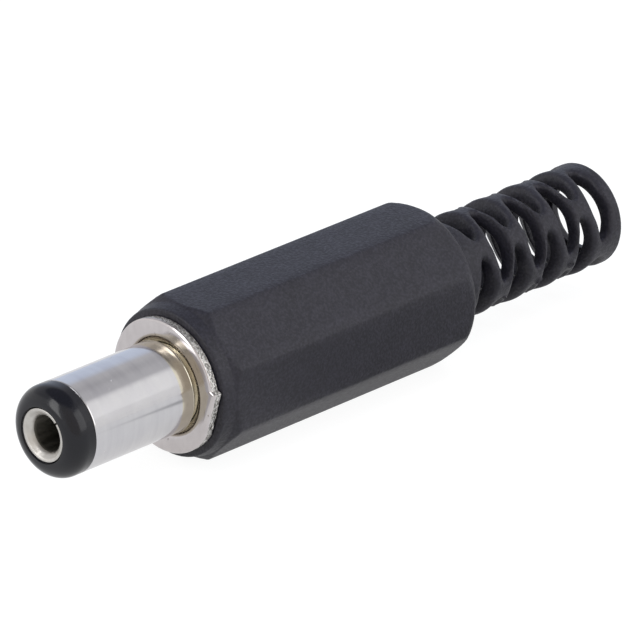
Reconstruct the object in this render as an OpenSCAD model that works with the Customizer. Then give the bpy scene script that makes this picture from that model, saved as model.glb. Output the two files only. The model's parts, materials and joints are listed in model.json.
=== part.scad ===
// Straight dc power plug with a screw-on octagonal handle.
// The mating axis is X, with +X towards the tip. The origin is on the axis, at the root of the
// barrel just in front of the flange. The plug lies on one flat of its handle, so +Z is up.

/* [Shaft] */
// Outside diameter of the metal barrel
barrel_d = 5.5; // [5:0.1:6.5]
// Wall of the barrel in front of the flange
barrel_wall = 0.6; // [0.5:0.05:0.8]
// Length from the flange's face to the tip
shaft_length = 9.3; // [9:0.1:14]
// Length of the insulating nose in front of the barrel
nose_length = 1.6; // [1.4:0.1:2.2]
// Radius of the nose's rounded edge
nose_round = 1.05; // [0.6:0.05:1.2]

/* [Centre contact] */
// Bore that takes the socket's centre pin
contact_bore_d = 2.1; // [1.7:0.1:2.5]
// Depth of that bore behind the mouth
contact_depth = 9; // [6:0.5:9]
// Wall of the contact tube
contact_wall = 0.35; // [0.25:0.05:0.4]
// Width of the flared lip beyond the tube
mouth_flare = 0.24; // [0.1:0.02:0.3]
// Depth of the dished mouth
mouth_depth = 0.34; // [0.2:0.02:0.5]
// How far the lip sits behind the tip
mouth_recess = 0.06; // [0.02:0.02:0.2]
// Width of the seam along the rolled tube
seam_width = 0.12; // [0.06:0.02:0.3]
// Direction of the seam, up from the side
seam_angle = 45; // [0:5:90]
// Outside diameter of the hollow tail
tail_d = 1.7; // [1.4:0.1:1.8]
// Wall of the hollow tail
tail_wall = 0.35; // [0.25:0.05:0.5]

/* [Flange] */
// How far the flange's rim lies inside the handle's collar
flange_inset = 0.38; // [0.1:0.02:0.6]
// Thickness of the flange's sheet
flange_thickness = 0.6; // [0.55:0.05:0.8]
// Radius of the edge that the punch rolled over
flange_rollover = 0.14; // [0.05:0.01:0.2]
// Width of the barrel's coned shoulder
shoulder = 0.25; // [0.2:0.05:0.3]
// Height of the barrel's root above the flange's face
root_gap = 0.1; // [0.08:0.01:0.15]
// Radial gap round the shoulder in the flange's countersink
seat_margin = 0.3; // [0.2:0.01:0.32]
// Direction of the cut that parted the flange from its strip
shear_angle = -15; // [-45:5:45]
// Depth of that cut into the rim
shear_depth = 0.13; // [0.05:0.01:0.2]
// Height of the nib that the cut left
nib_height = 0.28; // [0.1:0.02:0.4]

/* [Threaded bush] */
// Length of the bush behind the flange
bush_length = 6; // [4:0.5:8]
// Width of the run-out groove behind the flange
groove_width = 0.5; // [0.3:0.1:1]
// Depth of that groove, and of the thread
groove_depth = 0.3; // [0.2:0.05:0.4]
// Lead-in chamfer at the rear end
bush_chamfer = 0.3; // [0.1:0.05:0.4]

/* [Solder tags] */
// Thickness of the tag sheet
tag_thickness = 0.35; // [0.25:0.05:0.5]
// Width of the outer tag's leg
outer_tag_width = 2; // [1.4:0.1:2.6]
// Width of the centre tag's leg
centre_tag_width = 2.2; // [1.6:0.1:2.6]
// Length of the centre tag's leg
centre_tag_length = 4.5; // [3:0.5:6]
// Inside radius of the folds
tag_bend = 0.15; // [0.1:0.05:0.4]
// Rim of the outer tag's ring beyond its rivet
tag_rim = 0.2; // [0.1:0.05:0.25]
// Diameter of the outer tag's wire hole
outer_wire_hole = 1.2; // [0.8:0.1:1.3]
// Diameter of the centre tag's wire hole
centre_wire_hole = 1.2; // [0.8:0.1:1.4]
// Length of each cable claw along the leg
claw_length = 1.5; // [1:0.1:2]
// Space between the two claws
claw_space = 0.4; // [0.2:0.1:1]
// How far each claw reaches round from below
claw_reach = 112; // [90:2:120]
// Thickness of the insulating washer
washer_thickness = 0.4; // [0.3:0.05:0.8]
// Thickness of the rolled-over rivet edges
rivet_thickness = 0.35; // [0.25:0.05:0.5]
// Width of the rolled-over rivet edges
rivet_lip = 0.3; // [0.2:0.05:0.4]

/* [Handle] */
// Length of the handle without the strain relief
handle_length = 20.4; // [19:0.1:28]
// Wall between the thread's bore and the octagon's flats
handle_wall = 1; // [0.8:0.05:1.6]
// Softening of the octagon's edges
edge_soft = 0.06; // [0.02:0.01:0.15]
// Wall of the round collar at its front end
collar_wall = 0.78; // [0.6:0.02:0.8]
// How far the collar widens towards the octagon
collar_flare = 0.17; // [0.05:0.01:0.2]
// Length of the collar
collar_length = 0.75; // [0.4:0.05:1.2]
// Bevel at the collar's front edge
collar_bevel = 0.1; // [0.05:0.01:0.15]
// Length of the shoulder from the collar to the octagon's edges
front_shoulder = 0.42; // [0.3:0.02:1]
// Radius of the rounded rear end
rear_round = 1.25; // [0.8:0.05:1.8]
// Thickness of the rear wall, with the cable funnel in it
rear_wall = 1.6; // [1.4:0.1:3]
// Lead-in chamfer at the mouth of the thread
mouth_chamfer = 0.25; // [0.1:0.05:0.4]

/* [Strain relief] */
// Bore of the slotted sleeve
relief_bore_d = 4.5; // [4.2:0.1:5]
// Wall of the sleeve
relief_wall = 0.85; // [0.6:0.05:1]
// Length of the slotted sleeve
relief_length = 13.55; // [9:0.05:18]
// How far the end ring stands inside the sleeve's bore
end_lip = 0.3; // [0.2:0.02:0.4]
// Length of the end ring's bore
end_ring_length = 0.7; // [0.5:0.05:0.75]
// Rounding of the end's outer edge
end_round = 0.25; // [0.1:0.05:0.35]
// Slots in each row round the sleeve
slot_count = 3; // [3]
// Width of a slot along the axis at its middle
slot_width = 1.2; // [0.9:0.05:1.25]
// Width of a slot at its ends
slot_end_width = 0.6; // [0.3:0.05:0.8]
// Angle that a slot spans at the sleeve's bore
slot_span = 112; // [80:2:112]
// Distance from the end to the middle of the first row of slots
first_slot = 1.45; // [1.4:0.05:2]
// Distance between rows on the same side
slot_pitch = 2.75; // [2.6:0.05:3.5]
// Distance from each row to the staggered row after it
slot_stagger = 1.55; // [1.35:0.05:1.8]
// Direction of the first slot, up from the side
slot_angle = 40; // [0:5:90]

/* [Fits] */
// Gap between pieces that are pressed or riveted together
fit_gap = 0.03; // [0.02:0.01:0.05]
// Gap between the barrel's rivet and the fold of the outer tag
fold_gap = 0.05; // [0.03:0.01:0.1]
// Gap between the flange and the handle
handle_gap = 0.05; // [0.03:0.01:0.1]
// Radial gap between the bush's thread and the handle
thread_clearance = 0.1; // [0.05:0.01:0.15]
// Gap between the outer tag's leg and the handle's bore
tag_pass_gap = 0.1; // [0.06:0.01:0.2]
// Room between the outer tag's end and the handle's rear wall
tag_end_room = 0.8; // [0.5:0.1:4]

/* [Hidden] */

$fn = 64;
octagon_sides = 8;
octagon_turn = 180 / octagon_sides;
arc_steps = 10;
// Rounded corners overshoot by this share, so that they cross the faces they blend
round_overshoot = 1.01;
// Cutting shapes run past the faces that they cut by this much
through = 1;
// Slots are cut from this far inside the sleeve's bore
slot_start = 0.1;

barrel_r = barrel_d / 2;
barrel_bore_r = barrel_r - barrel_wall;
shank_r = barrel_r - shoulder;
shank_hole_r = shank_r + fit_gap;
barrel_rivet_r = shank_r + rivet_lip;
sleeve_r = barrel_bore_r - fit_gap;
contact_bore_r = contact_bore_d / 2;
contact_r = contact_bore_r + contact_wall;
mouth_r = contact_r + mouth_flare;
tail_r = tail_d / 2;
tail_bore_r = tail_r - tail_wall;
tail_hole_r = tail_r + fit_gap;
contact_rivet_r = tail_r + rivet_lip;
washer_r = barrel_rivet_r;
eyelet_r = sleeve_r + tag_thickness / 2;
outer_ring_r = barrel_rivet_r + tag_rim;
// The outer tag's leg runs outside the barrel's rivet, and the handle's bore passes over its corners
leg_rise = barrel_rivet_r + fold_gap + tag_bend + tag_thickness;
leg_corner_r = sqrt(pow(leg_rise, 2) + pow(outer_tag_width / 2, 2));
cavity_r = leg_corner_r + tag_pass_gap;
thread_r = cavity_r - thread_clearance;
handle_flat_r = cavity_r + handle_wall;
handle_corner_r = handle_flat_r / cos(octagon_turn) - edge_soft;
collar_r = cavity_r + collar_wall;
collar_back_r = collar_r + collar_flare;
flange_r = collar_r - flange_inset;
relief_bore_r = relief_bore_d / 2;
relief_r = relief_bore_r + relief_wall;
end_bore_r = relief_bore_r - end_lip;

// Stations along the axis, from the tip to the end of the strain relief
flange_front_x = -root_gap;
tip_x = flange_front_x + shaft_length;
mouth_x = tip_x - mouth_recess;
lip_back_x = mouth_x - mouth_depth;
barrel_front_x = tip_x - nose_length;
contact_floor_x = mouth_x - contact_depth;
contact_back_x = contact_floor_x - contact_wall;
flange_back_x = flange_front_x - flange_thickness;
bush_back_x = flange_back_x - bush_length;
outer_tag_back_x = bush_back_x - tag_thickness;
barrel_back_x = outer_tag_back_x - rivet_thickness;
washer_back_x = barrel_back_x - washer_thickness;
centre_tag_back_x = washer_back_x - tag_thickness;
tail_back_x = centre_tag_back_x - rivet_thickness;
handle_front_x = flange_back_x - handle_gap;
handle_rear_x = handle_front_x - handle_length;
cavity_back_x = handle_rear_x + rear_wall;
outer_tag_end_x = cavity_back_x + tag_end_room;
relief_end_x = handle_rear_x - relief_length;

// A slot is bounded by two long arcs of this radius, and ends on a circle about its middle
slot_half_length = relief_bore_r * sin(slot_span / 2);
slot_floor_r = relief_bore_r * cos(slot_span / 2) - slot_start;
slot_bulge = (slot_width - slot_end_width) / 2;
slot_arc_r = (pow(slot_half_length, 2) + pow(slot_bulge, 2)) / (2 * slot_bulge);
row_room = relief_length - first_slot - slot_stagger - slot_width;
slot_rows = floor(row_room / slot_pitch) + 1;

function arc(centre, radius, from, to) =
    [for (i = [0 : arc_steps]) let (a = from + (to - from) * i / arc_steps)
        centre + radius * [cos(a), sin(a)]];

// Revolves an outline drawn as [radius, x] about the mating axis
module turned(angle = 360) {
    rotate([0, 90, 0]) rotate_extrude(angle = angle) children();
}

// Plain ring from x0 to x1
module ring(outer, inner, x0, x1) {
    turned() translate([inner, x0]) square([outer - inner, x1 - x0]);
}

// Outline from the axis to radius r, from x0 to x1, with its corner at x1 rounded
module rounded_end(r, x0, x1, round) {
    intersection() {
        translate([0, x0]) square([r, x1 - x0]);
        union() {
            translate([0, x0]) square([r, x1 - x0 - round]);
            translate([0, x0]) square([r - round, x1 - x0]);
            translate([r - round, x1 - round]) circle(round * round_overshoot);
        }
    }
}

// Strip that rises from the axis with its front at x = 0 and folds back along -X
module folded_strip(rise, run, width) {
    fold = [-tag_thickness - tag_bend, rise - tag_thickness - tag_bend];
    outline = concat(
        [[0, 0]],
        arc(fold, tag_bend + tag_thickness, 0, 90),
        [[-run, rise], [-run, rise - tag_thickness]],
        arc(fold, tag_bend, 90, 0),
        [[-tag_thickness, 0]]);
    rotate([90, 0, 0]) linear_extrude(width, center = true) polygon(outline);
}

// Cutter for one slot, at x along the sleeve and angle up from the side
module slot_cutter(x, angle) {
    offset_to_arc = slot_arc_r - slot_width / 2;
    rotate([angle, 0, 0]) translate([x, slot_floor_r, 0]) rotate([-90, 0, 0])
        linear_extrude(relief_r - slot_floor_r + through) intersection() {
            translate([offset_to_arc, 0]) circle(slot_arc_r);
            translate([-offset_to_arc, 0]) circle(slot_arc_r);
            circle(slot_half_length);
        }
}

// Alternate rows of slots, each row turned half a step from the one before
module relief_slots() {
    step = 360 / slot_count;
    for (row = [0 : slot_rows - 1]) {
        x = relief_end_x + first_slot + row * slot_pitch;
        for (i = [0 : slot_count - 1]) {
            slot_cutter(x, slot_angle + i * step);
            slot_cutter(x + slot_stagger, slot_angle + (i + 0.5) * step);
        }
    }
}

// Octagonal grip, with a round collar in front and a rounded rear end
module handle_grip() {
    intersection() {
        translate([handle_rear_x, 0, 0]) rotate([0, 90, 0]) rotate([0, 0, octagon_turn])
            cylinder(h = handle_length, r = handle_flat_r / cos(octagon_turn), $fn = octagon_sides);
        turned() mirror([0, 1]) difference() {
            rounded_end(handle_corner_r, -handle_front_x, -handle_rear_x, rear_round);
            front = -handle_front_x;
            shoulder_x = front + collar_length;
            octagon_x = shoulder_x + front_shoulder;
            polygon([
                [collar_r - collar_bevel, front - through], [collar_r - collar_bevel, front],
                [collar_r, front + collar_bevel], [collar_back_r, shoulder_x],
                [handle_corner_r, octagon_x], [handle_corner_r + through, octagon_x],
                [handle_corner_r + through, front - through]]);
        }
    }
}

// Bore for the thread and the wiring, with a funnel down to the cable's bore
module handle_bore() {
    funnel = cavity_r - relief_bore_r;
    turned() polygon([
        [0, handle_front_x + through], [cavity_r + mouth_chamfer, handle_front_x + through],
        [cavity_r + mouth_chamfer, handle_front_x], [cavity_r, handle_front_x - mouth_chamfer],
        [cavity_r, cavity_back_x], [relief_bore_r, cavity_back_x - funnel],
        [relief_bore_r, relief_end_x + end_ring_length],
        [end_bore_r, relief_end_x + end_ring_length],
        [end_bore_r, relief_end_x - through], [0, relief_end_x - through]]);
}

// Moulded handle with its slotted strain relief, in one piece
module handle() {
    color("#35353a") difference() {
        union() {
            handle_grip();
            turned() mirror([0, 1])
                rounded_end(relief_r, -cavity_back_x, -relief_end_x, end_round);
        }
        handle_bore();
        relief_slots();
    }
}

// Nickel-plated sleeve contact, with a coned shoulder and a rear edge rolled over the outer tag
module outer_barrel() {
    color("#d2d2d4") turned() polygon([
        [barrel_bore_r, barrel_front_x], [barrel_r, barrel_front_x], [barrel_r, 0],
        [shank_r, -shoulder], [shank_r, outer_tag_back_x], [barrel_rivet_r, outer_tag_back_x],
        [barrel_rivet_r, barrel_back_x], [barrel_bore_r, barrel_back_x]]);
}

// Moulded nose, with the sleeve that keeps the two contacts apart
module tip_insulator() {
    bore_r = contact_r + fit_gap;
    lip_hole_r = mouth_r + fit_gap;
    floor_x = contact_back_x - fit_gap;
    color("#17171a") difference() {
        turned() {
            rounded_end(barrel_r, barrel_front_x + fit_gap, tip_x, nose_round);
            translate([0, washer_back_x]) square([sleeve_r, barrel_front_x + nose_length / 2 - washer_back_x]);
        }
        turned() polygon([
            [0, tip_x + through], [lip_hole_r, tip_x + through], [lip_hole_r, mouth_x],
            [bore_r, lip_back_x], [bore_r, floor_x], [tail_hole_r, floor_x],
            [tail_hole_r, washer_back_x - through], [0, washer_back_x - through]]);
    }
}

// Rolled tube with a dished mouth, and a hollow tail riveted over the centre tag
module inner_contact() {
    lip_land_r = mouth_r - mouth_flare / 2;
    color("#c9c6bd") difference() {
        turned() polygon([
            [lip_land_r, mouth_x], [mouth_r, mouth_x], [contact_r, lip_back_x],
            [contact_r, contact_back_x], [tail_r, contact_back_x],
            [tail_r, centre_tag_back_x], [contact_rivet_r, centre_tag_back_x],
            [contact_rivet_r, tail_back_x], [tail_bore_r, tail_back_x],
            [tail_bore_r, contact_floor_x], [contact_bore_r, contact_floor_x],
            [contact_bore_r, lip_back_x]]);
        rotate([seam_angle, 0, 0])
            translate([contact_floor_x, 0, -seam_width / 2])
                cube([contact_depth + through, mouth_r + through, seam_width]);
    }
}

// Stamped disc with a countersunk hole, a sheared flat and the nib beside it
module flange_plate() {
    countersink_r = barrel_r - root_gap + seat_margin;
    countersink_depth = countersink_r - shank_hole_r;
    flat_r = flange_r - shear_depth;
    nib_half = sqrt(pow(flange_r + nib_height, 2) - pow(flat_r, 2));
    nib_root = flat_r - nib_height;
    color("#bdbab2") difference() {
        union() {
            turned() rounded_end(flange_r, flange_back_x, flange_front_x, flange_rollover);
            rotate([shear_angle, 0, 0]) rotate([90, 0, 90]) translate([0, 0, flange_back_x])
                linear_extrude(flange_thickness - flange_rollover)
                    polygon([[nib_root, 0], [flat_r, 0], [flat_r, nib_half],
                             [nib_root, nib_half + nib_height / 2]]);
        }
        rotate([shear_angle, 0, 0])
            translate([flange_back_x - through, flat_r, -flange_r])
                cube([flange_thickness + 2 * through, flange_r, 2 * flange_r]);
        turned() polygon([
            [0, flange_back_x - through], [shank_hole_r, flange_back_x - through],
            [shank_hole_r, flange_front_x - countersink_depth],
            [countersink_r + through, flange_front_x + through], [0, flange_front_x + through]]);
    }
}

// Moulded bush that carries the thread for the handle
module threaded_bush() {
    groove_r = thread_r - groove_depth;
    groove_x = flange_back_x - groove_width;
    color("#222225") turned() polygon([
        [shank_hole_r, flange_back_x], [groove_r, flange_back_x], [groove_r, groove_x],
        [thread_r, groove_x - groove_depth], [thread_r, bush_back_x + bush_chamfer],
        [thread_r - bush_chamfer, bush_back_x], [shank_hole_r, bush_back_x]]);
}

// Ring tag under the barrel's rivet, with a long leg and two staggered cable claws
module outer_solder_tag() {
    run = bush_back_x - outer_tag_end_x;
    claw_outer = leg_rise - tag_thickness / 4;
    hole_x = outer_tag_end_x + 2 * claw_length + claw_space + outer_wire_hole;
    color("#c4c3bf") difference() {
        union() {
            ring(outer_ring_r, shank_hole_r, outer_tag_back_x, bush_back_x);
            translate([bush_back_x, 0, 0]) mirror([0, 0, 1])
                folded_strip(leg_rise, run, outer_tag_width);
            for (side = [0, 1]) mirror([0, side, 0])
                turned(claw_reach)
                    translate([claw_outer - tag_thickness,
                               outer_tag_end_x + side * (claw_length + claw_space)])
                        square([tag_thickness, claw_length]);
        }
        ring(shank_hole_r, 0, barrel_back_x, bush_back_x + through);
        translate([hole_x, 0, -leg_rise - through])
            cylinder(h = tag_thickness + 2 * through, d = outer_wire_hole);
    }
}

// Fibre washer between the barrel's rivet and the centre tag
module insulating_washer() {
    color("#7a5638") ring(washer_r, sleeve_r + fit_gap, washer_back_x, barrel_back_x);
}

// Ring tag under the contact's rivet, with a short leg above the axis
module centre_solder_tag() {
    hole_x = centre_tag_back_x - centre_tag_length + centre_wire_hole;
    color("#c4c3bf") difference() {
        union() {
            ring(eyelet_r, tail_hole_r, centre_tag_back_x, washer_back_x);
            translate([washer_back_x, 0, 0])
                folded_strip(eyelet_r, tag_thickness + centre_tag_length, centre_tag_width);
        }
        ring(tail_hole_r, 0, tail_back_x, washer_back_x + through);
        translate([hole_x, 0, eyelet_r - tag_thickness - through])
            cylinder(h = tag_thickness + 2 * through, d = centre_wire_hole);
    }
}

handle();
outer_barrel();
tip_insulator();
inner_contact();
flange_plate();
threaded_bush();
outer_solder_tag();
insulating_washer();
centre_solder_tag();
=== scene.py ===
"""Looks of a straight dc power plug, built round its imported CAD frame.

Sizes are millimetres in the frame's own axes: X is the mating axis with the tip at +X, and Z is up.
Angles round the axis are radians from +Y towards +Z. Meshes are scaled to metres as they are made.
"""

import json
import math

import bmesh
import bpy
import numpy as np
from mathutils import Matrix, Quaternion, Vector, kdtree, noise
from mathutils.geometry import delaunay_2d_cdt

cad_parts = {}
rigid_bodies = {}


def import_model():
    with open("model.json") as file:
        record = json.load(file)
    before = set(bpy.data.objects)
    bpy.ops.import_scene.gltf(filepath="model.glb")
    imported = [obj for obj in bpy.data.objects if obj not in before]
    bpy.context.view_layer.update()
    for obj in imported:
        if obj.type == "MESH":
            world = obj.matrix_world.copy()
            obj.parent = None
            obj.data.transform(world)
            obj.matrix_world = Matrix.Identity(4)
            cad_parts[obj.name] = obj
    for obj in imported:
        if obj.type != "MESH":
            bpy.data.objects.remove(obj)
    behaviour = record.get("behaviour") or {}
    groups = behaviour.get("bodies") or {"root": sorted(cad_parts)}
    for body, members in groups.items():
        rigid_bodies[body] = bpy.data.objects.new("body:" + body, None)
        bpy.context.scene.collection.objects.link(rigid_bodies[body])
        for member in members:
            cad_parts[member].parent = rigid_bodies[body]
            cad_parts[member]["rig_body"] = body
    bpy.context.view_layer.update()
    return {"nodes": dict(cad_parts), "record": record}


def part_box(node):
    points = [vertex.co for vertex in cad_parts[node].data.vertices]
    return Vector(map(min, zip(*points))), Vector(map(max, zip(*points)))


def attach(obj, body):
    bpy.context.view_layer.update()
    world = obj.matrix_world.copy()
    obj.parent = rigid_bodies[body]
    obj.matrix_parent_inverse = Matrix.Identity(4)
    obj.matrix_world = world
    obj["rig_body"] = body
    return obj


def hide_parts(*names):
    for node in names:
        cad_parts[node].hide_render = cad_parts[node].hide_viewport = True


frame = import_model()

MM = 0.001
TURN = 2 * math.pi


def low(node, axis=0):
    """Lowest coordinate of a CAD node, in millimetres."""
    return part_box(node)[0][axis] / MM


def high(node, axis=0):
    """Highest coordinate of a CAD node, in millimetres."""
    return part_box(node)[1][axis] / MM


# Sizes and slots that the frame gives
MOUNTS = {mount["name"]: mount["dims"] for mount in frame["record"]["mounts"]}
BARREL_R = MOUNTS["barrel"]["r_mm"]
CONTACT_BORE_R = MOUNTS["centre_bore"]["r_mm"]
END_BORE_R = MOUNTS["cable_entry"]["r_mm"]
TIP_X = high("tip_insulator")
SLEEVE_BACK_X = low("tip_insulator")
BARREL_FRONT_X = high("outer_barrel")
BARREL_BACK_X = low("outer_barrel")
BARREL_RIVET_R = high("outer_barrel", 2)
MOUTH_X = high("inner_contact")
TAIL_BACK_X = low("inner_contact")
FLANGE_FRONT_X = high("flange_plate")
FLANGE_BACK_X = low("flange_plate")
FLANGE_R = -low("flange_plate", 1)
BUSH_FRONT_X = high("threaded_bush")
BUSH_BACK_X = low("threaded_bush")
THREAD_R = high("threaded_bush", 2)
HANDLE_FRONT_X = high("handle")
RELIEF_END_X = low("handle")
HANDLE_FLAT_R = high("handle", 2)

# Small fillets on turned, moulded and punched edges
TAG_BREAK = 0.06
EDGE_BREAK = 0.05
FINE_BREAK = 0.04
HOLE_BREAK = 0.03

# Sizes of the barrel and the nose
FIT_GAP = 0.03
BARREL_WALL = 0.6
BARREL_BORE_R = BARREL_R - BARREL_WALL
SHOULDER = 0.25
SHANK_R = BARREL_R - SHOULDER
SHANK_HOLE_R = SHANK_R + FIT_GAP
RIVET_THICKNESS = 0.35
RIVET_ROUND = 0.15
RIVET_BORE_ROUND = 0.1
FOOT_BURR_X = 0.03
FOOT_BURR = 0.025
FOOT_BURR_RUN = 3 * FOOT_BURR
FOOT_BLEND = 0.2
NOSE_ROUND = 1.05
NOSE_HOLE_BREAK = 0.02

# Sizes of the centre contact
CONTACT_WALL = 0.35
CONTACT_DEPTH = 9
CONTACT_R = CONTACT_BORE_R + CONTACT_WALL
CONTACT_FLOOR_X = MOUTH_X - CONTACT_DEPTH
CONTACT_BACK_X = CONTACT_FLOOR_X - CONTACT_WALL
LIP_FLARE = 0.24
LIP_DEPTH = 0.34
LIP_LAND = 0.2
LIP_FRONT_ROUND = 0.26
LIP_BACK_ROUND = 0.5
MOUTH_R = CONTACT_R + LIP_FLARE
LIP_BACK_X = MOUTH_X - LIP_DEPTH
# The bore inside this radius is painted darker: painted shade deep in the tube
BORE_PAINTED_SHADE_MARGIN = 0.03
BORE_PAINTED_SHADE_R = CONTACT_BORE_R + BORE_PAINTED_SHADE_MARGIN
TAIL_R = 0.85
TAIL_BORE_R = TAIL_R - CONTACT_WALL
TAIL_RIVET_REACH = 0.3
TAIL_RIVET_R = TAIL_R + TAIL_RIVET_REACH
TAIL_RIVET_ROUND = 0.14
SEAM_WIDTH = 0.12
SEAM_ANGLE = math.radians(45)

# Sizes of the flange
COUNTERSINK_MARGIN = 0.3
COUNTERSINK_R = BARREL_R + FLANGE_FRONT_X + COUNTERSINK_MARGIN
COUNTERSINK_ROUND = 0.6
# The countersunk hole inside this radius takes a lighter, warmer colour: painted light in the groove round
# the barrel
HOLE_PAINTED_LIGHT_MARGIN = 0.2
HOLE_PAINTED_LIGHT_R = COUNTERSINK_R - HOLE_PAINTED_LIGHT_MARGIN
ROLLOVER_WIDTH = 0.36
ROLLOVER_DEPTH = 0.14
ROLLOVER_WAVER = 0.6
ROLLOVER_NOISE = 0.7
TORN_FROM = 0.9 * ROLLOVER_DEPTH
RAGGED_DEPTH = 0.035
RAGGED_RUN = 0.1
RAGGED_SCALE = 9
SHEAR_ANGLE = math.radians(-15)
SHEAR_LIMIT_ANGLE = 1
SHEAR_DEPTH = 0.13
SHEAR_R = FLANGE_R - SHEAR_DEPTH
NIB_HEIGHT = 0.28

# Sizes of the bush and its thread
GROOVE_WIDTH = 0.5
THREAD_DEPTH = 0.3
THREAD_PITCH = 0.8
BUSH_CHAMFER = 0.3

# Sizes of the handle
HANDLE_WALL = 1
REAR_WALL = 1.6
RELIEF_LENGTH = 13.55
CAVITY_R = HANDLE_FLAT_R - HANDLE_WALL
HANDLE_REAR_X = RELIEF_END_X + RELIEF_LENGTH
CAVITY_BACK_X = HANDLE_REAR_X + REAR_WALL
CAVITY_ROUND = 0.1
OCTAGON_SIDES = 8
OCTAGON_TURN = math.pi / OCTAGON_SIDES
OCTAGON_EDGE_ROUND = 0.16
CORNER_BREAK = 0.06
HANDLE_CORNER_R = HANDLE_FLAT_R / math.cos(OCTAGON_TURN) - CORNER_BREAK
COLLAR_WALL = 0.78
COLLAR_TAPER = 0.17
COLLAR_LENGTH = 0.75
COLLAR_SLOPE = 0.42
COLLAR_R = CAVITY_R + COLLAR_WALL
COLLAR_BACK_R = COLLAR_R + COLLAR_TAPER
COLLAR_BACK_X = HANDLE_FRONT_X - COLLAR_LENGTH
COLLAR_FRONT_ROUND = 0.13
COLLAR_BACK_ROUND = 0.2
OCTAGON_X = COLLAR_BACK_X - COLLAR_SLOPE
OCTAGON_FRONT_ROUND = 0.2
REAR_ROUND = 1.25
MOUTH_CHAMFER = 0.25
BORE_THREAD_LENGTH = 6
THREAD_MARGIN = 1
BLEND_WIDTH = 0.1

# Sizes of the slotted strain relief
RELIEF_BORE_R = 2.25
RELIEF_WALL = 0.85
RELIEF_R = RELIEF_BORE_R + RELIEF_WALL
FUNNEL_END_X = CAVITY_BACK_X - (CAVITY_R - RELIEF_BORE_R)
END_RING = 0.7
END_RING_X = RELIEF_END_X + END_RING
END_ROUND = 0.25
END_BORE_ROUND = 0.4
END_STEP_ROUND = 0.06
ROOT_ROUND = 0.3
SLOT_COUNT = 3
SLOT_ROWS = 4
SLOT_PITCH = 2.75
SLOT_STAGGER = 1.55
SLOT_ANGLE = math.radians(40)
FIRST_SLOT = 1.45
FIRST_SLOT_X = RELIEF_END_X + FIRST_SLOT
SLOT_WIDTH = 1.2
SLOT_INNER_WIDTH = 1.06
SLOT_END_WIDTH = 0.6
SLOT_ARC = math.radians(112)
SLOT_HALF_LENGTH = RELIEF_BORE_R * math.sin(SLOT_ARC / 2)
SLOT_FLARE = 0.2
SLOT_OUTER_HALF_LENGTH = SLOT_HALF_LENGTH + SLOT_FLARE
SLOT_BULGE = (SLOT_WIDTH - SLOT_END_WIDTH) / 2
SLOT_ARC_R = (SLOT_HALF_LENGTH**2 + SLOT_BULGE**2) / (2 * SLOT_BULGE)
SLOT_END_ROUND = 0.3
SLOT_OUTER_ROUND = 0.32
SLOT_INNER_ROUND = 0.12

# Flaws of the moulding: wavering slot edges, flash in the slots, and marks as (x from the end, degrees)
SLOT_WAVER = 0.06
SLOT_NOISE_STEP = 5.3
SLOT_FLASH = 0.5
FLASH_ANGLE = math.radians(220)
MOULD_MARKS = [(4.19, -20.1), (6.74, -26.7), (9.56, -33.4)]
MARK_R = 0.21
MARK_WIDTH = 0.07
MARK_HEIGHT = 0.1

# Camera that was fitted to the photograph, with angles in degrees and its aim on the part
CAMERA_AZIMUTH = 134.61
CAMERA_ELEVATION = 24.68
CAMERA_ROLL = math.radians(0.57)
CAMERA_DISTANCE = 508.4
CAMERA_AIM = (-12.64, 0.06, 0.12)
CAMERA_LENS = 501.1
CAMERA_CLIP = 10
SENSOR_WIDTH = 36

# Floor: its greys, how much gloss dims its glow off and on a grey card, and the card's limits (fade, full)
FLOOR_GAP = 0.02
FLOOR_HALF = 3000
FLOOR_GREY = (0.48, 0.48, 0.48, 1)
FLOOR_SHADE = (0.18, 0.18, 0.18, 1)
FLOOR_GLOW = 0.92
GLOSS_DIM = (0.14, 0.74)
CARD_LIMITS_X = [(-8, -12), (-34, -28)]
CARD_LIMITS_Y = [(4, 8), (26, 16)]

# Surroundings: light on the part, and the zones that gloss sees, as cones between two cosines
WHITE = (1, 1, 1)
AMBIENT_COLOUR = (0.94, 0.96, 1, 1)
AMBIENT_STRENGTH = 0.42
STUDIO_ZONES = {
    "grey ceiling": dict(azimuth=0, elevation=73, edge=0.5, full=0.64, colour=(0.66, 0.66, 0.68)),
    "dark ceiling": dict(azimuth=0, elevation=79, edge=0.755, full=0.85, colour=(0.24, 0.24, 0.26)),
    "blue wall": dict(azimuth=-43, elevation=15, edge=0.86, full=0.98, colour=(0.76, 0.84, 1)),
    "camera side": dict(azimuth=134, elevation=25, edge=0.7, full=0.95, colour=(0.78, 0.74, 0.69)),
}

# Lamps, with angles in degrees and power in watts
SKY_BLUE = (0.62, 0.86, 1.25)
SOFTBOXES = {
    "top_light": dict(azimuth=0, elevation=80, distance=800, width=600, height=600, power=1.35,
                      in_gloss=False, colour=SKY_BLUE),
    "side_light": dict(azimuth=200, elevation=65, distance=600, width=300, height=300, power=0.9,
                       in_gloss=False),
    "left_softbox": dict(azimuth=71, elevation=25, distance=600, width=210, height=460, power=0.95),
    "right_softbox": dict(azimuth=230, elevation=33, distance=600, width=440, height=320, power=0.06),
    "front_strip": dict(azimuth=192, elevation=32, distance=600, width=500, height=480, power=0.9),
}

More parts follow.
